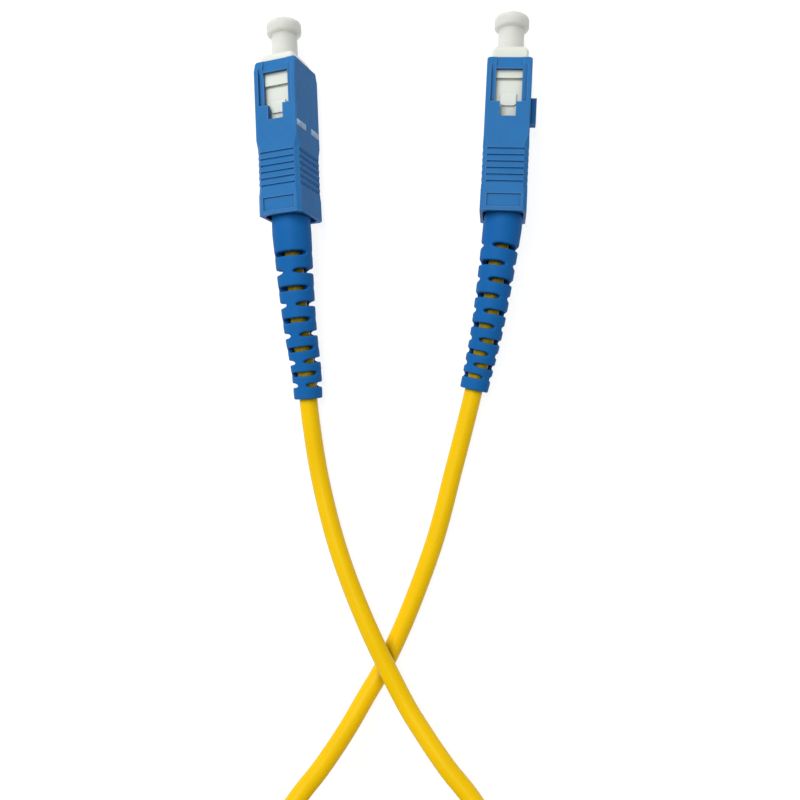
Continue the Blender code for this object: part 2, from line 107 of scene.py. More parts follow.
FRAME_HALF_X = 3.0
FRAME_HALF_Z = 3.4
FRAME_CHAMFER = 0.35
FRAME_LENGTH = 17.5
FRAME_LEAD_IN = (0.40, 0.75)  # how far the nose narrows on every side, and over what length
VALLEY_FRONT = -5.42      # the latch shoulder

SPRING_Y = (-15.40, -10.46)
SPRING_R = 1.75
SPRING_WIRE_R = 0.19

BOOT_FRONT = -20.5        # along the cord's route, measured like the connector's Y
BOOT_SHOULDER = -28.6
BOOT_END = -56.86
BOOT_COLLAR_R = 3.20
BOOT_R = (3.27, 2.36)
BOOT_LEVELS = 10
BOOT_FIRST_SLOT = -32.9
BOOT_PITCH = (2.88, 1.93)
BOOT_SLOT_HALF = 0.36
BOOT_BRIDGE_HALF = 20     # in degrees

# ---------------------------------------------------------------- light and camera, in metres
KEY_LIGHT = {"place": (-0.17, 0.15, 0.35), "target": (0, -0.02, 0), "size": 0.28, "power": 1.26}
GLINT_LIGHT = {"place": (-0.06, 0.02, 0.50), "target": (0, -0.03, 0), "size": 0.04, "power": 0.45}
WORLD_STRENGTH = 0.36
FLOOR_HALF = 1.5
FLOOR_GLOW = 0.88
CAMERA_PLACE = (0.00045, -0.0410, 0.1530)
CAMERA_TILT = 3.334       # in degrees from straight down
SENSOR_MM = 36.0
LENS_MM = 40.6575


# ---------------------------------------------------------------- materials
def srgb(r, g, b):
    """The linear colour of an sRGB one given from 0 to 255."""
    def linear(v):
        v /= 255
        return v / 12.92 if v <= 0.04045 else ((v + 0.055) / 1.055) ** 2.4
    return (linear(r), linear(g), linear(b), 1.0)


def link(tree, source, output, target, socket):
    tree.links.new(source.outputs[output], target.inputs[socket])


def node(tree, kind, **values):
    made = tree.nodes.new(kind)
    for key, value in values.items():
        setattr(made, key, value)
    return made


def noise_node(tree, coords, scale, detail=3.0, roughness=0.55, stretch=None):
    source = coords
    output = "Object"
    if stretch:
        mapping = node(tree, "ShaderNodeMapping")
        mapping.inputs["Scale"].default_value = stretch
        link(tree, coords, "Object", mapping, "Vector")
        source, output = mapping, "Vector"
    tex = node(tree, "ShaderNodeTexNoise")
    tex.inputs["Scale"].default_value = scale
    tex.inputs["Detail"].default_value = detail
    tex.inputs["Roughness"].default_value = roughness
    link(tree, source, output, tex, "Vector")
    return tex


def ramp(tree, source, output, stops):
    made = node(tree, "ShaderNodeValToRGB")
    elements = made.color_ramp.elements
    while len(elements) < len(stops):
        elements.new(0.5)
    for element, (place, value) in zip(elements, stops):
        element.position = place
        element.color = value if isinstance(value, tuple) else (value, value, value, 1.0)
    link(tree, source, output, made, "Fac")
    return made


def mix_colour(tree, blend, factor, first, second):
    """first and second are (node, output) or a colour; returns the mix node."""
    made = node(tree, "ShaderNodeMix", data_type="RGBA", blend_type=blend)
    if isinstance(factor, tuple):
        tree.links.new(factor[0].outputs[factor[1]], made.inputs[0])
    else:
        made.inputs[0].default_value = factor
    for slot, value in ((6, first), (7, second)):
        if isinstance(value[0], bpy.types.Node):
            tree.links.new(value[0].outputs[value[1]], made.inputs[slot])
        else:
            made.inputs[slot].default_value = value
    return made


def occlusion(tree, distance, inside=False):
    """How open a point is: low in crevices, or low beside convex edges when looking inside the solid."""
    made = node(tree, "ShaderNodeAmbientOcclusion", inside=inside, only_local=inside, samples=6)
    made.inputs["Distance"].default_value = distance * MM
    return made


def moulded(
    name, colour, roughness, variation=0.04, cloud=260.0, grain=7000.0, grain_depth=0.000012,
    edge=0.10, painted_crevice_shade=0.65, reach=0.8, stretch=None, painted_shade_fade=None, **shader_values,
):
    """A moulded or extruded plastic: cloudy colour, paler edges, painted shade in hollows, grain and uneven
    gloss.

    The crevice argument is the grey or colour that hollows up to `reach` mm wide are multiplied by, as
    painted shade;
    the fade argument is (first y, last y, colour): the piece turns to that colour between those two places
    along its own axis.
    """
    mat = bpy.data.materials.new(name)
    mat.use_nodes = True
    tree = mat.node_tree
    shader = tree.nodes["Principled BSDF"]
    shader.inputs["Roughness"].default_value = roughness
    for key, value in shader_values.items():
        shader.inputs[key.replace("_", " ")].default_value = value
    coords = node(tree, "ShaderNodeTexCoord")
    clouds = noise_node(tree, coords, cloud, 4.0, 0.6, stretch)
    low = tuple(c * (1 - variation) for c in colour[:3]) + (1.0,)
    high = tuple(min(1.0, c * (1 + variation)) for c in colour[:3]) + (1.0,)
    base = ramp(tree, clouds, "Fac", [(0.32, low), (0.68, high)])
    shaded = (base, "Color")
    # painted shade and light: the colour shifts along the piece's own axis, so one end is painted darker than
    # the other
    if painted_shade_fade:
        split = node(tree, "ShaderNodeSeparateXYZ")
        link(tree, coords, "Object", split, "Vector")
        place = node(tree, "ShaderNodeMapRange", interpolation_type="SMOOTHSTEP")
        place.inputs["From Min"].default_value = painted_shade_fade[0] * MM
        place.inputs["From Max"].default_value = painted_shade_fade[1] * MM
        link(tree, split, "Y", place, "Value")
        shaded = (mix_colour(tree, "MIX", (place, "Result"), shaded, painted_shade_fade[2]), 2)
    if edge:
        crest = ramp(tree, occlusion(tree, 0.22, inside=True), "AO", [(0.55, 1.0), (0.95, 0.0)])
        worn = tuple(min(1.0, c + (1 - c) * edge) for c in colour[:3]) + (1.0,)
        shaded = (mix_colour(tree, "MIX", (crest, "Color"), shaded, worn), 2)
    # painted shade: darkens the colour where little is open within reach, in grooves, slots, windows and
    # between parts
    if painted_crevice_shade != 1.0:
        shade = ramp(tree, occlusion(tree, reach), "AO", [(0.25, painted_crevice_shade), (0.85, 1.0)])
        shaded = (mix_colour(tree, "MULTIPLY", 1.0, shaded, (shade, "Color")), 2)
    tree.links.new(shaded[0].outputs[shaded[1]], shader.inputs["Base Color"])
    gloss = noise_node(tree, coords, 900.0, 3.0)
    glossy, dull = max(0.03, roughness - 0.05), min(1.0, roughness + 0.06)
    gloss_range = ramp(tree, gloss, "Fac", [(0.3, glossy), (0.7, dull)])
    link(tree, gloss_range, "Color", shader, "Roughness")
    fine = noise_node(tree, coords, grain, 2.0, 0.6, stretch)
    bump = node(tree, "ShaderNodeBump")
    bump.inputs["Strength"].default_value = 0.35
    bump.inputs["Distance"].default_value = grain_depth
    link(tree, fine, "Fac", bump, "Height")
    link(tree, bump, "Normal", shader, "Normal")
    return mat


def metal(name, colour, roughness, stretch=None):
    """A slightly tarnished metal; stretch draws its grain out into tool marks."""
    mat = moulded(name, colour, roughness, variation=0.06, cloud=500.0, grain=4000.0, grain_depth=0.000004,
                  edge=0.25, stretch=stretch)
    mat.node_tree.nodes["Principled BSDF"].inputs["Metallic"].default_value = 1.0
    return mat


def strap(name, colour):
    """Hook-and-loop strap: a fuzzy looped face."""
    mat = bpy.data.materials.new(name)
    mat.use_nodes = True
    tree = mat.node_tree
    shader = tree.nodes["Principled BSDF"]
    shader.inputs["Roughness"].default_value = 0.9
    shader.inputs["Sheen Weight"].default_value = 0.35
    coords = node(tree, "ShaderNodeTexCoord")
    cells = node(tree, "ShaderNodeTexVoronoi")
    cells.inputs["Scale"].default_value = 3200.0
    link(tree, coords, "Object", cells, "Vector")
    pale, dark = (tuple(c * gain for c in colour[:3]) + (1.0,) for gain in (1.9, 0.6))
    tint = ramp(tree, cells, "Distance", [(0.0, pale), (0.7, dark)])
    link(tree, tint, "Color", shader, "Base Color")
    bump = node(tree, "ShaderNodeBump")
    bump.inputs["Strength"].default_value = 0.8
    bump.inputs["Distance"].default_value = 0.00012
    bump.invert = True
    link(tree, cells, "Distance", bump, "Height")
    link(tree, bump, "Normal", shader, "Normal")
    return mat


TOOL_MARKS = (1.0, 6.0, 1.0)
# the crevice values below are painted shade in each material's hollows; the default in moulded paints it on
# the inner parts too
MATS = {
    "blue": moulded("grip_blue", srgb(46, 110, 169), 0.36, edge=0.05, painted_crevice_shade=0.50,
                    Specular_IOR_Level=0.03),
    "boot": moulded("boot_rubber_blue", srgb(24, 96, 163), 0.50, cloud=180.0, grain=5200.0,
                    grain_depth=0.00002, edge=0.02, painted_crevice_shade=0.40, Specular_IOR_Level=0.04),
    # the plug's crevice value with a 3 mm reach is painted shade: it darkens the plug inside the grip's
    # windows and next to the cap and grip
    "white": moulded("plug_white", srgb(217, 222, 213), 0.36, variation=0.015, edge=0.1, painted_crevice_shade=0.70,
                     reach=3.0, Specular_IOR_Level=0.15, Subsurface_Weight=0.5,
                     Subsurface_Radius=(1.0, 1.0, 1.0), Subsurface_Scale=0.0008),
    # the cap's head is painted darker than its thin sleeve: painted shade on the head and painted light on
    # the sleeve, for an evenly lit, translucent look
    "cap": moulded("cap_translucent", srgb(232, 234, 222), 0.42, variation=0.01, edge=0.0, painted_crevice_shade=1.0,
                   painted_shade_fade=(1.0, 5.2, srgb(198, 199, 193)),
                   Specular_IOR_Level=0.1, Subsurface_Weight=1.0, Subsurface_Radius=(1.0, 1.0, 1.0),
                   Subsurface_Scale=0.004),
    # the jacket's olive crevice colour is painted shade: it darkens the cord inside the boot's slots and
    # where the strands cross
    "jacket": moulded("jacket_yellow", srgb(237, 192, 0), 0.36, variation=0.03, cloud=120.0, grain=3800.0,
                      grain_depth=0.00002, edge=0.0, painted_crevice_shade=(0.17, 0.25, 0.32, 1.0), reach=2.4,
                      Specular_IOR_Level=0.10),
    "ceramic": moulded("ferrule_zirconia", srgb(238, 236, 228), 0.10, variation=0.015, grain_depth=0.000002,
                       Subsurface_Weight=0.1, Subsurface_Scale=0.0006),
    "steel": metal("spring_and_flange_steel", srgb(190, 190, 188), 0.26),
    "turned": metal("stop_ring_plated", srgb(196, 190, 170), 0.30, TOOL_MARKS),
    "nickel": metal("crimp_nickel", srgb(200, 198, 192), 0.34, TOOL_MARKS),
    "yarn": moulded("aramid_yarn", srgb(222, 196, 106), 0.75, variation=0.18, cloud=2400.0, grain=5200.0,
                    grain_depth=0.00006, edge=0.1, stretch=(6.0, 0.5, 6.0)),
    "buffer": moulded("buffer_white", srgb(232, 232, 226), 0.45, variation=0.02, edge=0.0),
    "mark": moulded("pad_print_pale_blue", srgb(150, 176, 200), 0.55, variation=0.08, cloud=1500.0,
                    edge=0.0, painted_crevice_shade=1.0, Specular_IOR_Level=0.2),
    "strap": strap("strap_black", (0.020, 0.020, 0.022, 1.0)),
}


# ---------------------------------------------------------------- mesh helpers
def new_object(name, mesh, mat, body, matrix=None, replaced=()):
    mesh.materials.clear()
    mesh.materials.append(MATS[mat])
    obj = bpy.data.objects.new(name, mesh)
    bpy.context.collection.objects.link(obj)
    if matrix is not None:
        obj.matrix_world = matrix
    bpy.context.view_layer.update()
    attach(obj, body)
    if replaced:
        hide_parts(*replaced)
    return obj


def to_mesh(bm, name, sharp=None):
    bmesh.ops.recalc_face_normals(bm, faces=bm.faces)
    mesh = bpy.data.meshes.new(name)
    bm.to_mesh(mesh)
    bm.free()
    mesh.shade_smooth()
    if sharp:
        mesh.set_sharp_from_angle(angle=math.radians(sharp))
    return mesh


def ring_at(bm, points):
    return [bm.verts.new(p) for p in points]


def bridge(bm, first, second):
    count = len(first)
    for i in range(count):
        k = (i + 1) % count
        bm.faces.new((first[i], first[k], second[k], second[i]))


def chamfered(half_x, half_z, chamfer, y):
    corners = [
        (half_x, -half_z + chamfer), (half_x, half_z - chamfer),
        (half_x - chamfer, half_z), (-half_x + chamfer, half_z),
        (-half_x, half_z - chamfer), (-half_x, -half_z + chamfer),
        (-half_x + chamfer, -half_z), (half_x - chamfer, -half_z),
    ]
    return [(x * MM, y * MM, z * MM) for x, z in corners]


def solid_of_sections(bm, sections):
    rings = [ring_at(bm, s) for s in sections]
    for one, two in zip(rings, rings[1:]):
        bridge(bm, one, two)
    bm.faces.new(rings[0])
    bm.faces.new(rings[-1])


def shell_of_sections(bm, outer, inner):
    skins = []
    for sections in (outer, inner):
        rings = [ring_at(bm, s) for s in sections]
        for one, two in zip(rings, rings[1:]):
            bridge(bm, one, two)
        skins.append(rings)
    bridge(bm, skins[0][0], skins[1][0])
    bridge(bm, skins[0][-1], skins[1][-1])


def add_box(bm, low, high):
    (x0, y0, z0), (x1, y1, z1) = low, high
    lower = [(x0, y0, z0), (x1, y0, z0), (x1, y1, z0), (x0, y1, z0)]
    upper = [(x, y, z1) for x, y, _ in lower]
    solid_of_sections(bm, [[(x * MM, y * MM, z * MM) for x, y, z in ring] for ring in (lower, upper)])


def add_prism(bm, outline, axis, low, high):
    """A prism along axis "X" (outline of y, z) or "Z" (outline of x, y)."""
    if axis == "X":
        rings = [[(d * MM, p * MM, q * MM) for p, q in outline] for d in (low, high)]
    else:
        rings = [[(p * MM, q * MM, d * MM) for p, q in outline] for d in (low, high)]
    solid_of_sections(bm, rings)


def carve(mesh, steps):
    """The mesh after each (operation, closed solids) step has been applied to it."""
    target = bpy.data.objects.new("carving", mesh)
    bpy.context.collection.objects.link(target)
    tools = []
    for operation, bm in steps:
        tool = bpy.data.objects.new("carving_tool", to_mesh(bm, "carving_tool"))
        bpy.context.collection.objects.link(tool)
        modifier = target.modifiers.new("carve", "BOOLEAN")
        modifier.operation = operation
        modifier.solver = "EXACT"
        modifier.object = tool
        tools.append(tool)
    bpy.context.view_layer.update()
    graph = bpy.context.evaluated_depsgraph_get()
    carved = bpy.data.meshes.new_from_object(target.evaluated_get(graph))
    for obj in [target, *tools]:
        old = obj.data
        bpy.data.objects.remove(obj)
        bpy.data.meshes.remove(old)
    return carved


def soft_edges(obj, width, segments=2, angle=28):
    bevel = obj.modifiers.new("soft_edges", "BEVEL")
    bevel.width = width * MM
    bevel.segments = segments
    bevel.limit_method = "ANGLE"
    bevel.angle_limit = math.radians(angle)
    bevel.use_clamp_overlap = True
    bevel.harden_normals = True
    weighted = obj.modifiers.new("even_normals", "WEIGHTED_NORMAL")
    weighted.keep_sharp = True
    return obj


def turned_mesh(name, profile, segments=64):
    """A closed ring turned about Y from (radius, y) points running round its section."""
    bm = bmesh.new()
    turns = [2 * math.pi * i / segments for i in range(segments)]
    rings = [
        ring_at(bm, [(r * MM * math.cos(a), y * MM, r * MM * math.sin(a)) for a in turns]) for r, y in profile
    ]
    for i, one in enumerate(rings):
        bridge(bm, one, rings[(i + 1) % len(rings)])
    return to_mesh(bm, name)


# ---------------------------------------------------------------- the route of the cord
def catmull(points, steps):
    pts = [points[0] * 2 - points[1], *points, points[-1] * 2 - points[-2]]
    found = []
    for i in range(1, len(pts) - 2):
        p0, p1, p2, p3 = pts[i - 1:i + 3]
        for k in range(steps):
            t = k / steps
            found.append(
                0.5 * (2 * p1 + (p2 - p0) * t + (2 * p0 - 5 * p1 + 4 * p2 - p3) * t ** 2
                       + (3 * p1 - p0 - 3 * p2 + p3) * t ** 3)
            )
    found.append(pts[-2])
    return found


def pose_matrix(side):
    (x, y, z), yaw, roll, _, _ = POSES[side]
    turn = Matrix.Rotation(math.radians(yaw), 4, "Z") @ Matrix.Rotation(math.radians(roll), 4, "Y")
    return Matrix.Translation(Vector((x, y, z)) * MM) @ turn


def dense_route(side):
    place = pose_matrix(side)
    axis = [place @ Vector((0, y * MM, 0)) for y in (-16.0, -20.5, -25.0, -29.5)]
    dense = catmull(axis + [Vector(p) * MM for p in ROUTE[side]], 24)
    along = [-16.0]
    for one, two in zip(dense, dense[1:]):
        along.append(along[-1] - (two - one).length / MM)
    return dense, along


def on_route(dense, along, y):
    for i in range(1, len(along)):
        if along[i] <= y or i == len(along) - 1:
            t = (along[i - 1] - y) / (along[i - 1] - along[i])
            return dense[i - 1].lerp(dense[i], t), (dense[i - 1] - dense[i]).normalized()
    raise ValueError(y)


def strand_points(side, spacing=1.5):
    dense, along = dense_route(side)
    count = round((JACKET_START - along[-1]) / spacing)
    stations = [JACKET_START + (along[-1] - JACKET_START) * i / count for i in range(count + 1)]
    return [on_route(dense, along, y)[0] for y in stations]


def smooth(t):
    t = min(1.0, max(0.0, t))
    return t * t * (3 - 2 * t)


def coil_points():
    """The wound turns: clockwise seen from above, stepping to the next place in the pile once a turn."""
    total = 360 * (len(COIL_ORDER) - 1) + 180
    step = 10
    found = []
    for turned in range(step, total, step):
        turn, part = divmod(turned, 360)
        column, layer = COIL_ORDER[turn]
        r, z = COIL_COLUMNS[column], COIL_LAYERS[layer]
        if part > 225 and turn + 1 < len(COIL_ORDER):
            t = smooth((part - 225) / 100)
            column, layer = COIL_ORDER[turn + 1]
            r += (COIL_COLUMNS[column] - r) * t
            z += (COIL_LAYERS[layer] - z) * t
        if turned < 33:
            z += (COIL_TOP - z) * (1 - smooth(turned / 33))
        left = total - turned
        if left < 24:
            z += (COIL_TOP - z) * (1 - smooth(left / 24))
        angle = math.radians(5 - turned)
        x, y = COIL_CENTRE
        found.append(Vector((x + r * math.cos(angle), y + r * math.sin(angle), z)) * MM)
    return found


def cord():
    points = strand_points("a") + coil_points() + strand_points("b")[::-1]
    curve = bpy.data.curves.new("cord_jacket", "CURVE")
    curve.dimensions = "3D"
    curve.bevel_depth = JACKET_R * MM
    curve.bevel_resolution = 6
    curve.use_fill_caps = True
    spline = curve.splines.new("POLY")
    spline.points.add(len(points) - 1)
    for target, point in zip(spline.points, points):
        target.co = (*point, 1.0)
    spline.use_smooth = True
    curve.materials.append(MATS["jacket"])
    obj = bpy.data.objects.new("cord_jacket", curve)
    bpy.context.collection.objects.link(obj)
    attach(obj, "cable")
    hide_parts("cord_strand_a", "cord_strand_b", "cord_coil")
    return obj, points


# ---------------------------------------------------------------- connector pieces
def grip(side):
    """The outer shell: lead-in ramps, windows with sunk ledges, crossbar, key, ribbed waist, blank panel."""
    nose = POSES[side][3]
    hx, hz = HOUSING_HALF_X, HOUSING_HALF_Z
    ribbed_x, ribbed_z, bevel = RIBBED_HALF_X, RIBBED_HALF_Z, RIBBED_BEVEL
    # (y, half width, half height, corner chamfer) of each section, from the front edge back
    outer = [
        (0.0, hx - 0.22, hz - 0.62, 0.16), (-0.25, hx, hz - 0.53, 0.16), (-1.7, hx, hz, 0.16),
        (-13.2, hx, hz, 0.18), (-14.6, ribbed_x, ribbed_z, bevel), (-21.6, ribbed_x, ribbed_z, bevel),
        (-22.3, hx + 0.08, hz, 0.62), (-HOUSING_LENGTH, hx + 0.10, hz + 0.03, 0.62),
    ]
    inner = [
        (0.0, 3.10, 3.50, 0.42), (-16.6, 3.10, 3.50, 0.42), (-17.6, 3.32, 3.70, 0.95),
        (-HOUSING_LENGTH, 3.35, 3.80, 0.95),
    ]
    bm = bmesh.new()
    shell_of_sections(
        bm,
        [chamfered(x, z, c, y) for y, x, z, c in outer],
        [chamfered(x, z, c, y) for y, x, z, c in inner],
    )
    body = to_mesh(bm, f"grip_body_{side}")
    key = bmesh.new()
    x0, x1 = sorted((KEY_SIDE[side] * (hx - 0.3), KEY_SIDE[side] * (hx + KEY_HEIGHT)))
    add_box(key, (x0, KEY_Y[0], -KEY_HALF_Z), (x1, KEY_Y[1], KEY_HALF_Z))
    windows, ledges, crossbars, ribs, panels = (bmesh.new() for _ in range(5))
    wide, narrow = WINDOW_HALF_WIDE, WINDOW_HALF_NARROW
    outline = [
        (wide, WINDOW_FRONT), (wide, WINDOW_STEP), (narrow, WINDOW_STEP), (narrow, WINDOW_BACK),
        (-narrow, WINDOW_BACK), (-narrow, WINDOW_STEP), (-wide, WINDOW_STEP), (-wide, WINDOW_FRONT),
    ]
    for face in (1, -1):
        z0, z1 = sorted((face * 2.9, face * CUT_END))
        add_prism(windows, outline, "Z", z0, z1)
        for lane in (1, -1):
            x0, x1 = sorted((lane * 1.9, lane * 2.92))
            ledge = [(-7.60, face * 3.95), (-2.7, face * 3.95), (-1.25, face * 4.34),
                     (-1.25, face * CUT_END), (-7.60, face * CUT_END)]
            add_prism(ledges, ledge, "X", x0, x1)
        crossbar = [(-2.9, face * 4.20), (-1.3, face * 4.08), (0.5, face * 3.66), (0.5, face * CUT_END),
                    (-2.9, face * CUT_END)]
        add_prism(crossbars, crossbar, "X", -2.14, 2.14)
        for i in range(GROOVE_COUNT):
            y = GROOVE_FIRST - i * GROOVE_PITCH
            groove = [(y + 0.20, 1.2), (y + 0.20, 0.0), (y + 0.12, -0.22), (y - 0.24, 0.0), (y - 0.24, 1.2)]
            across = ribbed_x - bevel
            add_prism(ribs, [(q, face * (ribbed_z + d)) for q, d in groove], "X", -across, across)
            notch = [(y + 0.42, 1.2), (y + 0.42, 0.02), (y + 0.02, -0.27), (y - 0.40, 0.02), (y - 0.40, 1.2)]
            upright = ribbed_z - bevel + 0.12
            add_prism(ribs, [(face * (ribbed_x + d), q) for q, d in notch], "Z", -upright, upright)
        z0, z1 = sorted((face * PANEL_FLOOR, face * CUT_END))
        add_box(panels, (-PANEL_HALF_X, PANEL_Y[0], z0), (PANEL_HALF_X, PANEL_Y[1], z1))
    carved = carve(body, [
        ("UNION", key), ("DIFFERENCE", windows), ("DIFFERENCE", ledges), ("DIFFERENCE", crossbars),
        ("DIFFERENCE", ribs), ("DIFFERENCE", panels),
    ])
    carved.shade_smooth()
    place = pose_matrix(side) @ Matrix.Translation((0, -nose * MM, 0))
    carved.transform(place)
    obj = new_object(f"grip_shell_{side}", carved, "blue", f"grip_{side}", None, [f"grip_housing_{side}"])
    soft_edges(obj, 0.06)
    if side == "a":
        for label, z0, z1 in (("upper", 0.85, 4.32), ("lower", -4.32, -1.15)):
            mark = bmesh.new()
            add_box(mark, (hx - 0.05, -11.60, z0), (hx + 0.012, -10.55, z1))
            new_object(f"grip_mark_{label}", to_mesh(mark, "grip_mark"), "mark", "grip_a", place)
    return obj


def plug(side):
    """The inner plug: chamfered nose with a round bore; latch shoulder, valley and block on both faces."""
    hx, hz, c = FRAME_HALF_X, FRAME_HALF_Z, FRAME_CHAMFER
    narrows, over = FRAME_LEAD_IN
    outer = [(0.0, hx - narrows, hz - narrows, c), (-over, hx, hz, c), (-FRAME_LENGTH, hx, hz, c)]
    segments = 48
    shift = math.atan2(-(hz - c), hx)
    # (radius, y) down the bore, with the collar that the ferrule passes through
    bores = [
        (2.55, 0.0), (2.35, -0.25), (2.35, -7.0), (1.45, -7.0), (1.45, -8.2), (2.55, -8.2),
        (2.55, -FRAME_LENGTH),
    ]
    bm = bmesh.new()
    rings = [ring_at(bm, dense_section(chamfered(x, z, ch, y), segments)) for y, x, z, ch in outer]
    holes = []
    for r, y in bores:
        holes.append(ring_at(bm, [
            (r * MM * math.cos(shift + 2 * math.pi * i / segments), y * MM,
             r * MM * math.sin(shift + 2 * math.pi * i / segments)) for i in range(segments)
        ]))
    for skin in (rings, holes):
        for one, two in zip(skin, skin[1:]):
            bridge(bm, one, two)
    bridge(bm, rings[0], holes[0])
    bridge(bm, rings[-1], holes[-1])
    body = to_mesh(bm, f"plug_body_{side}")
    valleys, grooves, blocks = bmesh.new(), bmesh.new(), bmesh.new()
    beyond_x, beyond_z = 3.5, 4.0
    for face in (1, -1):
        z0, z1 = sorted((face * 2.98, face * beyond_z))
        add_box(valleys, (-beyond_x, -12.8, z0), (beyond_x, VALLEY_FRONT, z1))
        z0, z1 = sorted((face * 2.84, face * beyond_z))
        add_box(grooves, (-beyond_x, -5.80, z0), (beyond_x, VALLEY_FRONT, z1))
        z0, z1 = sorted((face * 2.8, face * 3.30))
        block = [(1.28, -8.0), (1.28, -9.65), (1.12, -9.9), (0.85, -10.0), (-0.85, -10.0), (-1.12, -9.9),
                 (-1.28, -9.65), (-1.28, -8.0)]
        add_prism(blocks, block, "Z", z0, z1)
    carved = carve(body, [("DIFFERENCE", valleys), ("DIFFERENCE", grooves), ("UNION", blocks)])
    carved.shade_smooth()
    carved.transform(pose_matrix(side))
    obj = new_object(f"plug_nose_{side}", carved, "white", "cable", None, [f"plug_frame_{side}"])
    return soft_edges(obj, 0.10)


def dense_section(points, count):
    """`count` points round the outline `points`, corners kept."""
    per_side = count // len(points)
    found = []
    for i, one in enumerate(points):
        two = points[(i + 1) % len(points)]
        for k in range(per_side):
            t = k / per_side
            found.append(tuple(a + (b - a) * t for a, b in zip(one, two)))
    return found


def cap(side):
    """The dust cap: a hollow soft sleeve with a thicker gripping head."""
    profile = [
        (1.31, -5.45), (1.45, -5.5), (2.0, -5.5), (2.13, -5.35), (2.15, -5.1), (2.15, 3.85), (2.20, 4.02),
        (2.64, 4.20), (2.82, 4.34), (2.90, 4.56), (2.90, 5.66), (2.87, 5.87), (2.78, 6.06), (2.64, 6.22),
        (2.44, 6.34), (2.15, 6.41), (1.5, 6.43), (0.7, 6.44), (0.02, 6.45), (0.02, 3.35), (1.05, 3.3),
        (1.25, 3.2), (1.31, 2.95),
    ]
    mesh = turned_mesh(f"cap_sleeve_{side}", profile)
    mesh.set_sharp_from_angle(angle=math.radians(50))
    place = pose_matrix(side)
    return new_object(f"cap_sleeve_{side}", mesh, "cap", f"cap_{side}", place, [f"dust_cap_{side}"])


def spring(side):
    """The ferrule's compression spring, closed at both ends; the real one shortens as the ferrule is pushed
    in, this coil keeps one length.
    """
    y_back, y_front = SPRING_Y
    wire, radius = SPRING_WIRE_R, SPRING_R
    turns, per_turn, sides = 6.5, 36, 12
    closed, closed_pitch = 0.75, 0.49
    open_turns = turns - 2 * closed
    open_pitch = (y_front - y_back - 2 * wire - 2 * closed * closed_pitch) / open_turns
    bm = bmesh.new()
    rings = []
    for i in range(round(turns * per_turn) + 1):
        done = i / per_turn
        opened = min(open_turns, max(0.0, done - closed))
        y = y_back + wire + closed_pitch * (done - opened) + open_pitch * opened
        angle = 2 * math.pi * done
        radial = Vector((math.cos(angle), 0, math.sin(angle)))
        section = []
        for k in range(sides):
            around = 2 * math.pi * k / sides
            offset = radial * math.cos(around) + Vector((0, math.sin(around), 0))
            section.append((radial * radius + Vector((0, y, 0)) + offset * wire) * MM)
        rings.append(ring_at(bm, section))
    for one, two in zip(rings, rings[1:]):
        bridge(bm, one, two)
    bm.faces.new(rings[0])
    bm.faces.new(rings[-1])
    mesh = to_mesh(bm, f"ferrule_coil_{side}", sharp=60)
    place = pose_matrix(side)
    mesh.transform(place)
    obj = new_object(f"ferrule_coil_{side}", mesh, "steel", "cable", None, [f"ferrule_spring_{side}"])
    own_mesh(obj)
    return obj


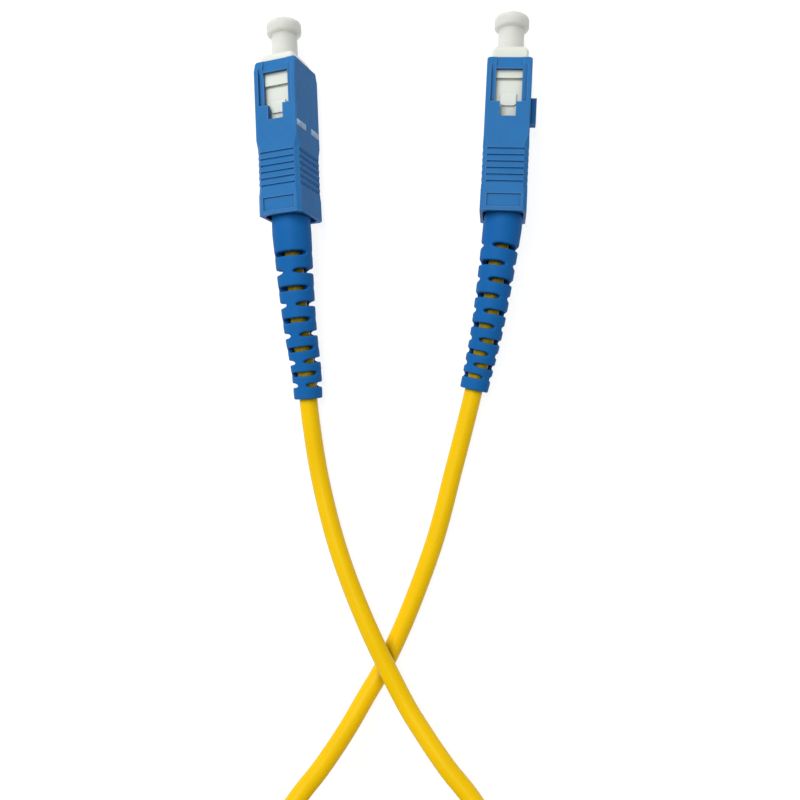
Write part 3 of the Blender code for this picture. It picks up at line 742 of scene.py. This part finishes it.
def boot(side):
    """The bend relief: soft barrel segments joined by pairs of bridges that alternate by a quarter turn."""
    dense, along = dense_route(side)
    turn = math.radians(POSES[side][4])
    up = (pose_matrix(side).to_3x3() @ Vector((math.sin(turn), 0, math.cos(turn)))).normalized()
    half, shoulder, end = BOOT_SLOT_HALF, BOOT_SHOULDER, BOOT_END
    bridge_half = BOOT_BRIDGE_HALF
    # (distance along the cord, level of the slot behind it, which slot edge it is, centre of the slot)
    stations = [(y, None, 0, 0) for y in (BOOT_FRONT, -20.7, -23.0, -25.8, -26.4, shoulder, -29.2, -30.2)]
    y = BOOT_FIRST_SLOT
    for level in range(BOOT_LEVELS):
        stations += [
            (y + half + 0.34, None, 0, 0), (y + half, level, 1, y), (y - half, None, -1, y),
            (y - half - 0.34, None, 0, 0),
        ]
        y -= BOOT_PITCH[0] + (BOOT_PITCH[1] - BOOT_PITCH[0]) * level / (BOOT_LEVELS - 2)
    stations += [(-56.45, None, 0, 0), (-56.72, None, 0, 0), (end, None, 0, 0)]
    quarter = (0, 10, bridge_half, 27, 36, 45, 54, 63, 90 - bridge_half, 80)
    angles = [90 * q + a for q in range(4) for a in quarter]
    sectors = len(angles)

    def outer_r(station):
        if station >= shoulder:
            return BOOT_COLLAR_R
        r = BOOT_R[0] + (BOOT_R[1] - BOOT_R[0]) * (station - shoulder) / (end - shoulder)
        return r - 0.12 if station == end else r

    def inner_r(station):
        if station > -26.0:
            return 2.50
        return 2.05 if station > -29.5 else 1.70

    def depth_in_slot(level, angle):
        """Degrees from the nearer bridge's edge, positive inside the slot."""
        bridge_at = 0 if level % 2 == 0 else 90
        return abs((angle - bridge_at + 90) % 180 - 90) - bridge_half

    bm = bmesh.new()
    skins = {"outer": [], "inner": []}
    for row, (y, level, slot_edge, centre) in enumerate(stations):
        if slot_edge == -1:
            level = stations[row - 1][1]
        for skin in skins:
            ring = []
            for angle in angles:
                at = y
                if slot_edge:
                    inside = depth_in_slot(level, angle)
                    at = centre + slot_edge * half * (0.25 + 0.75 * smooth(inside / 17))
                point, tangent = on_route(dense, along, at)
                right = tangent.cross(up).normalized()
                lift = right.cross(tangent).normalized()
                radius = outer_r(y) if skin == "outer" else inner_r(y)
                a = math.radians(angle)
                ring.append(bm.verts.new(point + (right * math.cos(a) + lift * math.sin(a)) * radius * MM))
            skins[skin].append(ring)

    def is_open(row, k):
        if not 0 <= row < len(stations) - 1:
            return True
        level = stations[row][1]
        if level is None:
            return False
        following = angles[k + 1] if k < sectors - 1 else 360
        return depth_in_slot(level, (angles[k] + following) / 2) > 0

    outer, inner = skins["outer"], skins["inner"]
    for row in range(len(stations)):
        for k in range(sectors):
            n = (k + 1) % sectors
            here, before = is_open(row, k), is_open(row - 1, k)
            if not here:
                bm.faces.new((outer[row][k], outer[row][n], outer[row + 1][n], outer[row + 1][k]))
                bm.faces.new((inner[row][k], inner[row + 1][k], inner[row + 1][n], inner[row][n]))
                if is_open(row, n):
                    bm.faces.new((outer[row][n], inner[row][n], inner[row + 1][n], outer[row + 1][n]))
                if is_open(row, (k - 1) % sectors):
                    bm.faces.new((outer[row][k], outer[row + 1][k], inner[row + 1][k], inner[row][k]))
            if here != before:
                bm.faces.new((outer[row][k], outer[row][n], inner[row][n], inner[row][k]))
    obj = new_object(f"boot_rubber_{side}", to_mesh(bm, f"boot_rubber_{side}"), "boot", "cable", None,
                     [f"boot_{side}"])
    rounded = obj.modifiers.new("rounded", "SUBSURF")
    rounded.levels = 2
    rounded.render_levels = 2
    return obj


def tie(name, angle):
    """A hook-and-loop strap: a flat band with rounded corners round the coil's section."""
    inner, outer, low, high = COIL_BOX
    bow, half = 0.25, 2.0
    bm = bmesh.new()

    def loop(offset):
        c = 1.2 + offset * 0.4
        i, o, z0, z1 = inner - bow - offset, outer + offset, low - offset, high + offset
        return [
            (i + c, z0), (o - c, z0), (o, z0 + c), (o, z1 - c),
            (o - c, z1), (i + c, z1), (i, z1 - c), (i, z0 + c),
        ]

    rings = {}
    for y in (-half, half):
        for label, points in (("near", loop(0.06)), ("far", loop(0.72))):
            rings[label, y] = ring_at(bm, [(r * MM, y * MM, z * MM) for r, z in points])
    bridge(bm, rings["near", -half], rings["near", half])
    bridge(bm, rings["far", -half], rings["far", half])
    bridge(bm, rings["near", -half], rings["far", -half])
    bridge(bm, rings["near", half], rings["far", half])
    place = Matrix.Translation((COIL_CENTRE[0] * MM, COIL_CENTRE[1] * MM, 0)) @ Matrix.Rotation(
        math.radians(angle), 4, "Z")
    obj = new_object(f"{name}_strap", to_mesh(bm, name), "strap", "cable", place, [name])
    return soft_edges(obj, 0.22, 3)


# ---------------------------------------------------------------- assembly
cord_piece, cord_route = cord()
ties = [tie(name, angle) for name, angle in TIE_ANGLES.items()]
for side in POSES:
    grip(side)
    plug(side)
    cap(side)
    boot(side)
    spring(side)
    for label, mat in (
        ("ferrule", "ceramic"), ("ferrule_flange", "steel"), ("stop_ring", "turned"),
        ("aramid_yarn", "yarn"), ("crimp_ring", "nickel"), ("buffered_fiber", "buffer"),
    ):
        shown = nodes[f"{label}_{side}"]
        shown.data.materials.clear()
        shown.data.materials.append(MATS[mat])


# ---------------------------------------------------------------- floor, light and camera
def floor():
    bm = bmesh.new()
    corners = ((-1, -1), (1, -1), (1, 1), (-1, 1))
    bm.faces.new([bm.verts.new((x * FLOOR_HALF, y * FLOOR_HALF, 0)) for x, y in corners])
    mesh = bpy.data.meshes.new("studio_floor")
    bm.to_mesh(mesh)
    bm.free()
    mat = bpy.data.materials.new("studio_floor")
    mat.use_nodes = True
    shader = mat.node_tree.nodes["Principled BSDF"]
    shader.inputs["Base Color"].default_value = (0.20, 0.20, 0.20, 1.0)
    shader.inputs["Emission Color"].default_value = (1.0, 1.0, 1.0, 1.0)
    shader.inputs["Emission Strength"].default_value = FLOOR_GLOW
    shader.inputs["Roughness"].default_value = 0.9
    shader.inputs["Specular IOR Level"].default_value = 0.1
    mesh.materials.append(mat)
    obj = bpy.data.objects.new("studio_floor", mesh)
    bpy.context.collection.objects.link(obj)


def area_light(name, place, target, size, power):
    data = bpy.data.lights.new(name, "AREA")
    data.shape = "DISK"
    data.size = size
    data.energy = power
    obj = bpy.data.objects.new(name, data)
    obj.location = place
    obj.rotation_euler = (Vector(target) - Vector(place)).to_track_quat("-Z", "Y").to_euler()
    bpy.context.collection.objects.link(obj)


floor()
world = bpy.data.worlds.new("studio")
world.use_nodes = True
world.node_tree.nodes["Background"].inputs["Color"].default_value = (1.0, 1.0, 1.0, 1.0)
world.node_tree.nodes["Background"].inputs["Strength"].default_value = WORLD_STRENGTH
bpy.context.scene.world = world
area_light("key", **KEY_LIGHT)
area_light("glint", **GLINT_LIGHT)
bpy.context.scene.view_settings.view_transform = "Standard"

camera = bpy.data.cameras.new("camera")
camera.sensor_width = SENSOR_MM
camera.lens = LENS_MM
camera.clip_start = 0.005
camera.clip_end = 20.0
camera_object = bpy.data.objects.new("camera", camera)
camera_object.location = CAMERA_PLACE
camera_object.rotation_euler = (math.radians(CAMERA_TILT), 0, 0)
bpy.context.collection.objects.link(camera_object)
bpy.context.scene.camera = camera_object
